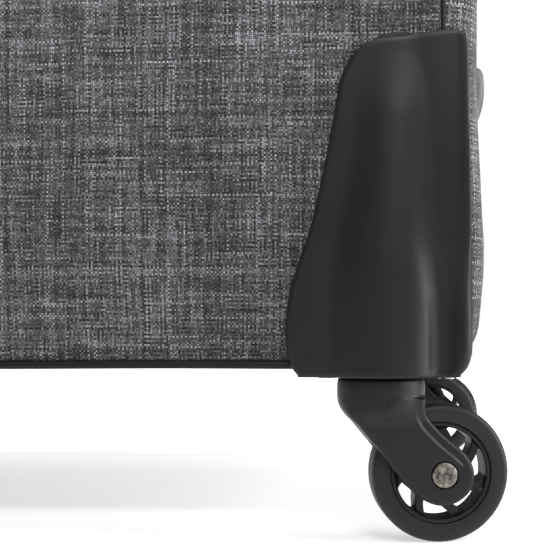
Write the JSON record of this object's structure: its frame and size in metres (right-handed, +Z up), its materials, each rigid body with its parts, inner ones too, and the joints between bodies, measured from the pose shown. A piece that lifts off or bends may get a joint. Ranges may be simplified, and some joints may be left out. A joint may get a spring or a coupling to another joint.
{
  "type": "softside upright suitcase",
  "caption": "Softside upright suitcase on swivel casters, with a zipped front lid, front pockets, a telescopic pull handle and carry handles.",
  "frame": {"origin": "on the floor under the middle of the case's bounding box", "axes": "+Z up, +Y towards the back panel with the telescopic handle, -Y towards the front pockets, +X to the right as seen from the front"},
  "size_m": [0.463, 0.2842, 0.686],
  "materials": {
    "body_fabric": "heather grey plain weave",
    "lining": "smooth satin lining",
    "webbing": "ribbed webbing",
    "mesh": "net",
    "zip_tape": "coil zip tape",
    "charcoal_plastic": "matte moulded",
    "fork_plastic": "satin moulded",
    "wheel_plastic": "satin moulded",
    "foot_plastic": "satin moulded",
    "tread": "satin",
    "tube": "anodised satin",
    "zip_metal": "dark nickel",
    "pin_metal": "worn nickel",
    "board": "pressed sheet"
  },
  "bodies": {
    "case": {"back_panel": "body_fabric", "front_lower_panel": "body_fabric", "left_side_panel": "body_fabric", "right_side_panel": "body_fabric", "top_panel": "body_fabric", "base_panel": "body_fabric", "inner_back_board": "board", "main_lining": "lining", "tie_straps": "webbing", "body_zip_half": "zip_tape", "rear_right_housing": "charcoal_plastic", "rear_left_housing": "charcoal_plastic", "front_right_housing": "charcoal_plastic", "front_left_housing": "charcoal_plastic", "swivel_bushes": "pin_metal", "housing_screws": "pin_metal", "handle_bezel": "charcoal_plastic", "handle_outer_tubes": "tube", "handle_foot_bracket": "charcoal_plastic", "carry_handle_caps": "charcoal_plastic", "side_feet": "foot_plastic", "lid_hinge_strip": "webbing"},
    "lid": {"lid_gusset": "body_fabric", "lid_front_panel": "body_fabric", "lower_pocket": "body_fabric", "upper_pocket": "body_fabric", "pocket_zips": "zip_tape", "lid_mesh_pocket": "mesh", "lid_zip_half": "zip_tape"},
    "handle_middle": {"handle_middle_tubes": "tube"},
    "handle_inner": {"handle_inner_tubes": "tube", "pull_handle_grip": "charcoal_plastic", "button_springs": "pin_metal"},
    "button": {"grip_button": "charcoal_plastic"},
    "top_handle": {"top_carry_handle": "webbing"},
    "side_handle": {"side_carry_handle": "webbing"},
    "rear_left_caster": {"rear_left_fork": "fork_plastic", "rear_left_caster_pins": "pin_metal"},
    "rear_left_wheel": {"rear_left_wheel_hub": "wheel_plastic", "rear_left_tyre": "tread"},
    "rear_right_caster": {"rear_right_fork": "fork_plastic", "rear_right_caster_pins": "pin_metal"},
    "rear_right_wheel": {"rear_right_wheel_hub": "wheel_plastic", "rear_right_tyre": "tread"},
    "front_left_caster": {"front_left_fork": "fork_plastic", "front_left_caster_pins": "pin_metal"},
    "front_left_wheel": {"front_left_wheel_hub": "wheel_plastic", "front_left_tyre": "tread"},
    "front_right_caster": {"front_right_fork": "fork_plastic", "front_right_caster_pins": "pin_metal"},
    "front_right_wheel": {"front_right_wheel_hub": "wheel_plastic", "front_right_tyre": "tread"},
    "main_left_slider": {"main_left_slider": "zip_metal"},
    "main_left_pull": {"main_left_pull": "zip_metal"},
    "main_right_slider": {"main_right_slider": "zip_metal"},
    "main_right_pull": {"main_right_pull": "zip_metal"},
    "lower_pocket_slider": {"lower_pocket_slider": "zip_metal"},
    "lower_pocket_pull": {"lower_pocket_pull": "zip_metal"},
    "upper_pocket_slider": {"upper_pocket_slider": "zip_metal"},
    "upper_pocket_pull": {"upper_pocket_pull": "zip_metal"}
  },
  "joints": [
    {"name": "rear_left_swivel", "type": "hinge", "parent": "case", "child": "rear_left_caster", "pos_m": [-0.1855, 0.125, 0.0738], "axis": [0, 0, 1], "continuous": true},
    {"name": "rear_left_roll", "type": "hinge", "parent": "rear_left_caster", "child": "rear_left_wheel", "pos_m": [-0.20604, 0.12063, 0.025], "axis": [0.2079, -0.9781, 0], "continuous": true},
    {"name": "rear_right_swivel", "type": "hinge", "parent": "case", "child": "rear_right_caster", "pos_m": [0.1855, 0.125, 0.0738], "axis": [0, 0, 1], "continuous": true},
    {"name": "rear_right_roll", "type": "hinge", "parent": "rear_right_caster", "child": "rear_right_wheel", "pos_m": [0.20604, 0.12063, 0.025], "axis": [0.2079, 0.9781, 0], "continuous": true},
    {"name": "front_left_swivel", "type": "hinge", "parent": "case", "child": "front_left_caster", "pos_m": [-0.1855, -0.125, 0.0738], "axis": [0, 0, 1], "continuous": true},
    {"name": "front_left_roll", "type": "hinge", "parent": "front_left_caster", "child": "front_left_wheel", "pos_m": [-0.20604, -0.12063, 0.025], "axis": [-0.2079, -0.9781, 0], "continuous": true},
    {"name": "front_right_swivel", "type": "hinge", "parent": "case", "child": "front_right_caster", "pos_m": [0.1855, -0.125, 0.0738], "axis": [0, 0, 1], "continuous": true},
    {"name": "front_right_roll", "type": "hinge", "parent": "front_right_caster", "child": "front_right_wheel", "pos_m": [0.20604, -0.12063, 0.025], "axis": [-0.2079, 0.9781, 0], "continuous": true},
    {"name": "lid_open", "type": "hinge", "parent": "case", "child": "lid", "pos_m": [-0.2235, -0.061, 0.43], "axis": [0, 0, -1], "range_deg": [0, 180], "deforming": ["lid_hinge_strip"]},
    {"name": "handle_stage_1", "type": "slide", "parent": "case", "child": "handle_middle", "axis": [0, 0, 1], "range_m": [0, 0.19]},
    {"name": "handle_stage_2", "type": "slide", "parent": "handle_middle", "child": "handle_inner", "axis": [0, 0, 1], "range_m": [0, 0.19]},
    {"name": "grip_button_press", "type": "slide", "parent": "handle_inner", "child": "button", "axis": [0, 0, -1], "range_m": [0, 0.0025], "stiffness_N_per_m": 400, "springref_m": -0.002, "deforming": ["button_springs"]},
    {"name": "top_handle_lift", "type": "slide", "parent": "case", "child": "top_handle", "axis": [0, 0, 1], "range_m": [0, 0.01]},
    {"name": "side_handle_lift", "type": "slide", "parent": "case", "child": "side_handle", "axis": [1, 0, 0], "range_m": [0, 0.01]},
    {"name": "main_left_slide", "type": "slide", "parent": "case", "child": "main_left_slider", "axis": [-1, 0, 0], "range_m": [0, 0.15]},
    {"name": "main_left_pull_flip", "type": "hinge", "parent": "main_left_slider", "child": "main_left_pull", "pos_m": [-0.008, -0.066, 0.6669], "axis": [-1, 0, 0], "range_deg": [0, 150]},
    {"name": "main_right_slide", "type": "slide", "parent": "case", "child": "main_right_slider", "axis": [1, 0, 0], "range_m": [0, 0.15]},
    {"name": "main_right_pull_flip", "type": "hinge", "parent": "main_right_slider", "child": "main_right_pull", "pos_m": [0.008, -0.066, 0.6669], "axis": [-1, 0, 0], "range_deg": [0, 150]},
    {"name": "lower_pocket_slide", "type": "slide", "parent": "lid", "child": "lower_pocket_slider", "axis": [-1, 0, 0], "range_m": [0, 0.33]},
    {"name": "lower_pocket_pull_flip", "type": "hinge", "parent": "lower_pocket_slider", "child": "lower_pocket_pull", "pos_m": [0.165, -0.1284, 0.4615], "axis": [-1, 0, 0], "range_deg": [0, 150]},
    {"name": "upper_pocket_slide", "type": "slide", "parent": "lid", "child": "upper_pocket_slider", "axis": [-1, 0, 0], "range_m": [0, 0.33]},
    {"name": "upper_pocket_pull_flip", "type": "hinge", "parent": "upper_pocket_slider", "child": "upper_pocket_pull", "pos_m": [0.165, -0.1284, 0.6155], "axis": [-1, 0, 0], "range_deg": [0, 150]}
  ]
}
